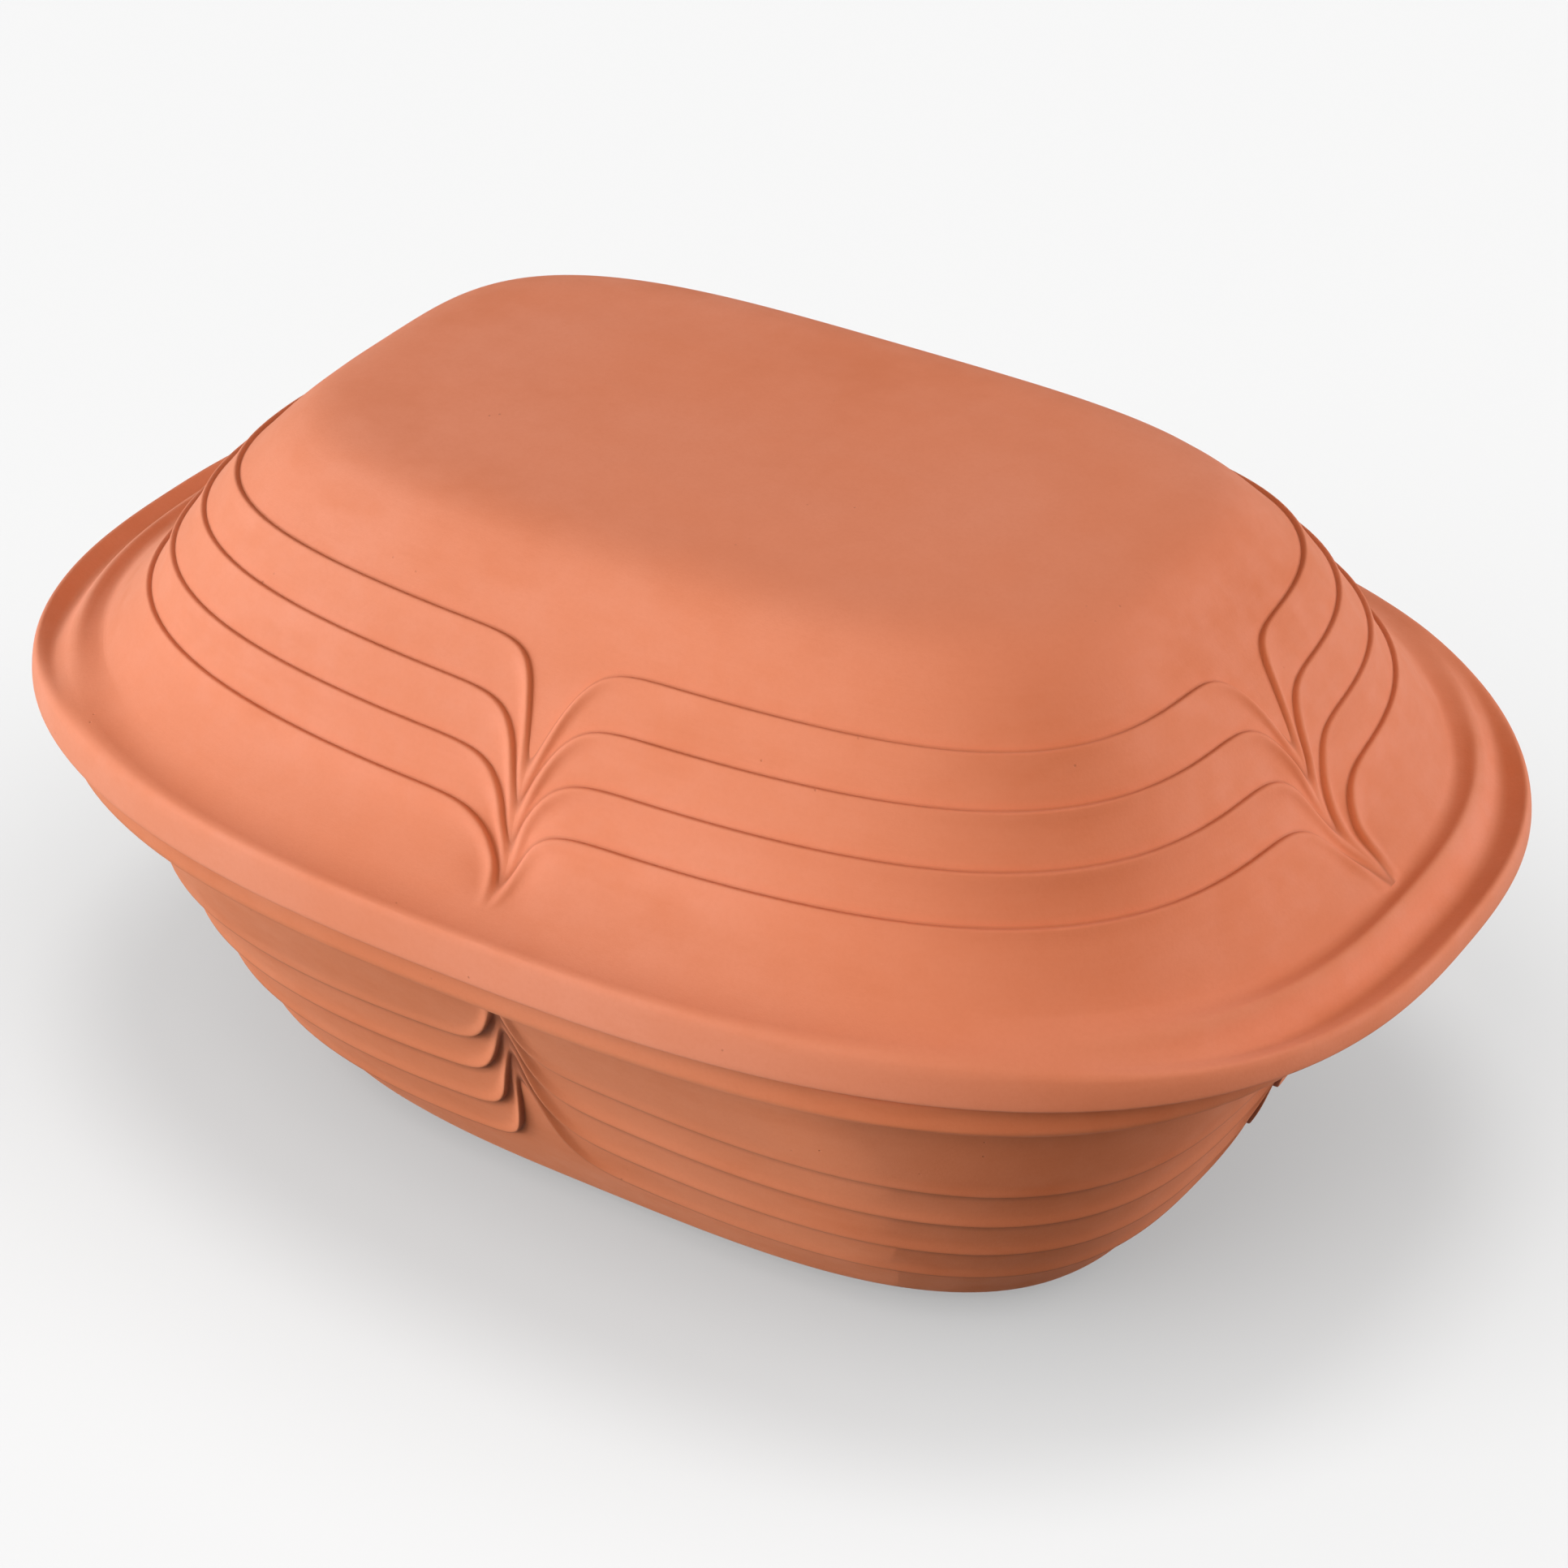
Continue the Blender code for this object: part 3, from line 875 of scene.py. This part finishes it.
def clay_surface():
    """Group: height of the fine surface, from grain, wiping marks and scattered pinholes."""
    tree = bpy.data.node_groups.new("clay surface", "ShaderNodeTree")
    group_socket(tree, "Vector", "NodeSocketVector")
    group_socket(tree, "Grain", "NodeSocketFloat", value=0.35)
    group_socket(tree, "Wiping", "NodeSocketFloat", value=0.25)
    group_socket(tree, "Pinholes", "NodeSocketFloat", value=1.0)
    group_socket(tree, "Height", "NodeSocketFloat", way="OUTPUT")
    group_socket(tree, "Pinholes", "NodeSocketFloat", way="OUTPUT")
    given = tree.nodes.new("NodeGroupInput").outputs
    vector = given["Vector"]
    grain = noise(tree, vector, scale=1300.0, detail=3.0, roughness=0.65)
    grain = multiply(tree, grain, given["Grain"])
    wiping = noise(tree, stretched(tree, vector, WIPING_STRETCH), scale=75.0, detail=3.0, roughness=0.6)
    wiping = multiply(tree, wiping, given["Wiping"])
    cells = add_node(tree, "ShaderNodeTexVoronoi", vector)
    cells.inputs["Scale"].default_value = PINHOLE_SCALE
    hole = remap(tree, cells.outputs["Distance"], PINHOLE_CORE, PINHOLE_RIM, to_low=1.0, to_high=0.0)
    chosen = noise(tree, vector, scale=33.0, detail=2.0, roughness=0.6)
    chosen = remap(tree, chosen, low=0.62, high=0.68)
    holes = multiply(tree, multiply(tree, hole, chosen), given["Pinholes"])
    height = calculate(tree, "SUBTRACT", calculate(tree, "ADD", grain, wiping), holes)
    add_node(tree, "NodeGroupOutput", height, holes)
    return tree


def place_group(tree, group, **values):
    node = tree.nodes.new("ShaderNodeGroup")
    node.node_tree = group
    for name, value in values.items():
        socket = node.inputs[name]
        if isinstance(value, bpy.types.NodeSocket):
            tree.links.new(value, socket)
        else:
            socket.default_value = value
    return node


def marked(tree, mark, strength):
    """Mask from one of the marks that the rows of a piece carry."""
    mask = add_node(tree, "ShaderNodeAttribute", attribute_name=mark).outputs["Fac"]
    return multiply(tree, mask, strength)


def fired_clay(name, tones, surface, pale, middle, deep, crease_shading):
    """Unglazed terracotta: soft tones, worn shoulders, painted shade in the creases and pinholes, and a
    fine grain.
    """
    material = bpy.data.materials.new(name)
    material.use_nodes = True
    tree = material.node_tree
    shader = tree.nodes["Principled BSDF"]
    vector = tree.nodes.new("ShaderNodeTexCoord").outputs["Object"]
    toned = place_group(tree, tones, Vector=vector, Pale=pale, Middle=middle, Deep=deep)
    relief = place_group(tree, surface, Vector=vector)
    colour = colour_mix(tree, marked(tree, "edge", EDGE_WEAR), toned.outputs["Color"], pale)
    # Painted shade: the creases darkened towards a dark brown
    colour = colour_mix(tree, marked(tree, "groove", crease_shading), colour, CREASE_SHADE_TINT)
    # Painted shade: the pinholes darkened
    holes = multiply(tree, relief.outputs["Pinholes"], PINHOLE_SHADING)
    colour = colour_mix(tree, holes, colour, PINHOLE_SHADE_TINT)
    tree.links.new(colour, shader.inputs["Base Color"])
    rough = noise(tree, vector, scale=140.0, detail=3.0, roughness=0.6)
    rough = remap(tree, rough, low=0.3, high=0.7, to_low=0.70, to_high=0.86)
    tree.links.new(rough, shader.inputs["Roughness"])
    shader.inputs["Specular IOR Level"].default_value = CLAY_GLOSS
    bump = tree.nodes.new("ShaderNodeBump")
    bump.inputs["Strength"].default_value = BUMP_STRENGTH
    bump.inputs["Distance"].default_value = BUMP_DISTANCE
    tree.links.new(relief.outputs["Height"], bump.inputs["Height"])
    tree.links.new(bump.outputs[0], shader.inputs["Normal"])
    return material


# Pieces

steps = draped_steps()
tones = clay_tones()
surface = clay_surface()
lid_clay = fired_clay("fired_clay_lid", tones, surface, *LID_TONES, LID_CREASE_SHADING)
# The base's darker, redder tones paint the shade that falls on it
base_clay = fired_clay("fired_clay_base", tones, surface, *BASE_SHADED_TONES, BASE_CREASE_SHADING)

lid = blank("roaster_lid", lid_rows(), SEAT_HEIGHT, True)
raise_steps(lid, steps, lid_clay, LID_STEPS)
base = blank("roaster_base", base_rows(), BASE_HEIGHT, False)
raise_steps(base, steps, base_clay, BASE_STEPS)

for piece, node in ((lid, "lid"), (base, "base")):
    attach(piece, node)
    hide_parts(node)


# Floor, light and camera

FLOOR_DROP = 0.0003
FLOOR_SIZE = 12.0
FLOOR_ALBEDO = 0.11
FLOOR_BOUNCE = 0.02
BACKGROUND = 0.939
FLOOR_GLOW = 0.36
ROOM_LIGHT = 0.02

# Softboxes: name, azimuth, elevation and spread in degrees, strength and colour
CLAY_LIGHTS = (
    ("left softbox", 307, 13, 40, 2.90, (0.96, 1.02, 1.12)),
    ("right softbox", 135, 12, 40, 2.25, (1.0, 0.95, 1.0)),
    ("front fill", 25, 48, 40, 1.16, (1.0, 0.68, 0.46)),
    ("low fill", 56, 38, 30, 0.34, (1.0, 0.64, 0.38)),
)
CLAY_BOUNCE = ("bounce from the left", 318, -20, 70, 1.15, (1.0, 0.94, 0.86))
FLOOR_LIGHTS = (
    ("front of the floor", 345, 48, 50, 7.7, (1.0, 1.0, 1.0)),
    ("right of the floor", 90, 60, 60, 6.6, (1.0, 1.0, 1.0)),
    ("left of the floor", 270, 60, 60, 2.0, (1.0, 1.0, 1.0)),
    ("overhead", 0, 88, 20, 3.2, (1.0, 1.0, 1.0)),
)


def shown_to_camera(tree):
    """1 for what the camera, a gloss or a glass sees, 0 for light that falls on the clay."""
    path = tree.nodes.new("ShaderNodeLightPath").outputs
    seen = calculate(tree, "MAXIMUM", path["Is Camera Ray"], path["Is Glossy Ray"])
    return calculate(tree, "MAXIMUM", seen, path["Is Transmission Ray"])


def pale_floor():
    """Flat floor under the foot, a little bright by itself where the camera sees it."""
    mesh = bpy.data.meshes.new("floor")
    half = FLOOR_SIZE / 2
    corners = [(-half, -half), (half, -half), (half, half), (-half, half)]
    mesh.from_pydata([(x, y, -FLOOR_DROP) for x, y in corners], [], [(0, 1, 2, 3)])
    material = bpy.data.materials.new("pale floor")
    material.use_nodes = True
    tree = material.node_tree
    tree.nodes.clear()
    seen = shown_to_camera(tree)
    albedo = remap(tree, seen, 0.0, 1.0, FLOOR_BOUNCE, FLOOR_ALBEDO)
    matt = add_node(tree, "ShaderNodeBsdfDiffuse", albedo)
    glow = add_node(tree, "ShaderNodeEmission", (1, 1, 1, 1))
    tree.links.new(multiply(tree, seen, FLOOR_GLOW), glow.inputs["Strength"])
    both = add_node(tree, "ShaderNodeAddShader", matt.outputs[0], glow.outputs[0])
    add_node(tree, "ShaderNodeOutputMaterial", both.outputs[0])
    mesh.materials.append(material)
    floor = bpy.data.objects.new("floor", mesh)
    bpy.context.scene.collection.objects.link(floor)
    return floor


def direction(azimuth, elevation):
    """Unit vector towards a place seen from the roaster; azimuth 0 is the front, 90 the right."""
    turn, lift = math.radians(azimuth), math.radians(elevation)
    return Vector((math.sin(turn) * math.cos(lift), -math.cos(turn) * math.cos(lift), math.sin(lift)))


def lit_only(name, *objects):
    """Collection of the objects that a lamp lights."""
    group = bpy.data.collections.new(name)
    for each in objects:
        group.objects.link(each)
    return group


def softbox(name, azimuth, elevation, spread, strength, colour, receivers, blockers=None):
    """Broad far lamp that lights only the receivers; only the blockers, if given, shade them."""
    lamp = bpy.data.lights.new(name, "SUN")
    lamp.energy = strength
    lamp.angle = math.radians(spread)
    lamp.color = colour
    holder = bpy.data.objects.new(name, lamp)
    holder.rotation_mode = "QUATERNION"
    holder.rotation_quaternion = direction(azimuth, elevation).to_track_quat("Z", "Y")
    bpy.context.scene.collection.objects.link(holder)
    holder.light_linking.receiver_collection = receivers
    if blockers:
        holder.light_linking.blocker_collection = blockers


def room_light(strength):
    """Faint light from all round, behind which the camera sees a pale backdrop."""
    world = bpy.data.worlds.new("room")
    bpy.context.scene.world = world
    world.use_nodes = True
    tree = world.node_tree
    tree.nodes.clear()
    dim = add_node(tree, "ShaderNodeBackground", (1, 1, 1, 1), strength)
    bright = add_node(tree, "ShaderNodeBackground", (BACKGROUND, BACKGROUND, BACKGROUND, 1), 1.0)
    both = add_node(
        tree, "ShaderNodeMixShader", shown_to_camera(tree), dim.outputs[0], bright.outputs[0]
    )
    add_node(tree, "ShaderNodeOutputWorld", both.outputs[0])


floor = pale_floor()
clay_only = lit_only("lit from the sides", lid, base)
floor_only = lit_only("lit from above", floor)
room_light(ROOM_LIGHT)
for lamp in CLAY_LIGHTS:
    softbox(*lamp, clay_only)
softbox(*CLAY_BOUNCE, clay_only, clay_only)
for lamp in FLOOR_LIGHTS:
    softbox(*lamp, floor_only)

# Camera of the photograph: direction in degrees, distance in metres, lens and centre in pixels
VIEW_AZIMUTH = 32.512
VIEW_ELEVATION = 32.158
VIEW_DISTANCE = 0.9543
IMAGE_SIZE = 1932
FOCAL_PIXELS = 5177.0
CENTRE_ACROSS = 938.883
CENTRE_DOWN = 876.798

camera_data = bpy.data.cameras.new("camera")
camera_data.sensor_width = 36
camera_data.lens = FOCAL_PIXELS / IMAGE_SIZE * camera_data.sensor_width
camera_data.shift_x = (IMAGE_SIZE / 2 - CENTRE_ACROSS) / IMAGE_SIZE
camera_data.shift_y = (CENTRE_DOWN - IMAGE_SIZE / 2) / IMAGE_SIZE
camera = bpy.data.objects.new("camera", camera_data)
towards = direction(VIEW_AZIMUTH, VIEW_ELEVATION)
camera.location = towards * VIEW_DISTANCE + Vector((0, 0, BASE_HEIGHT))
camera.rotation_mode = "QUATERNION"
camera.rotation_quaternion = towards.to_track_quat("Z", "Y")
bpy.context.scene.collection.objects.link(camera)
bpy.context.scene.camera = camera
bpy.context.scene.view_settings.view_transform = "Standard"
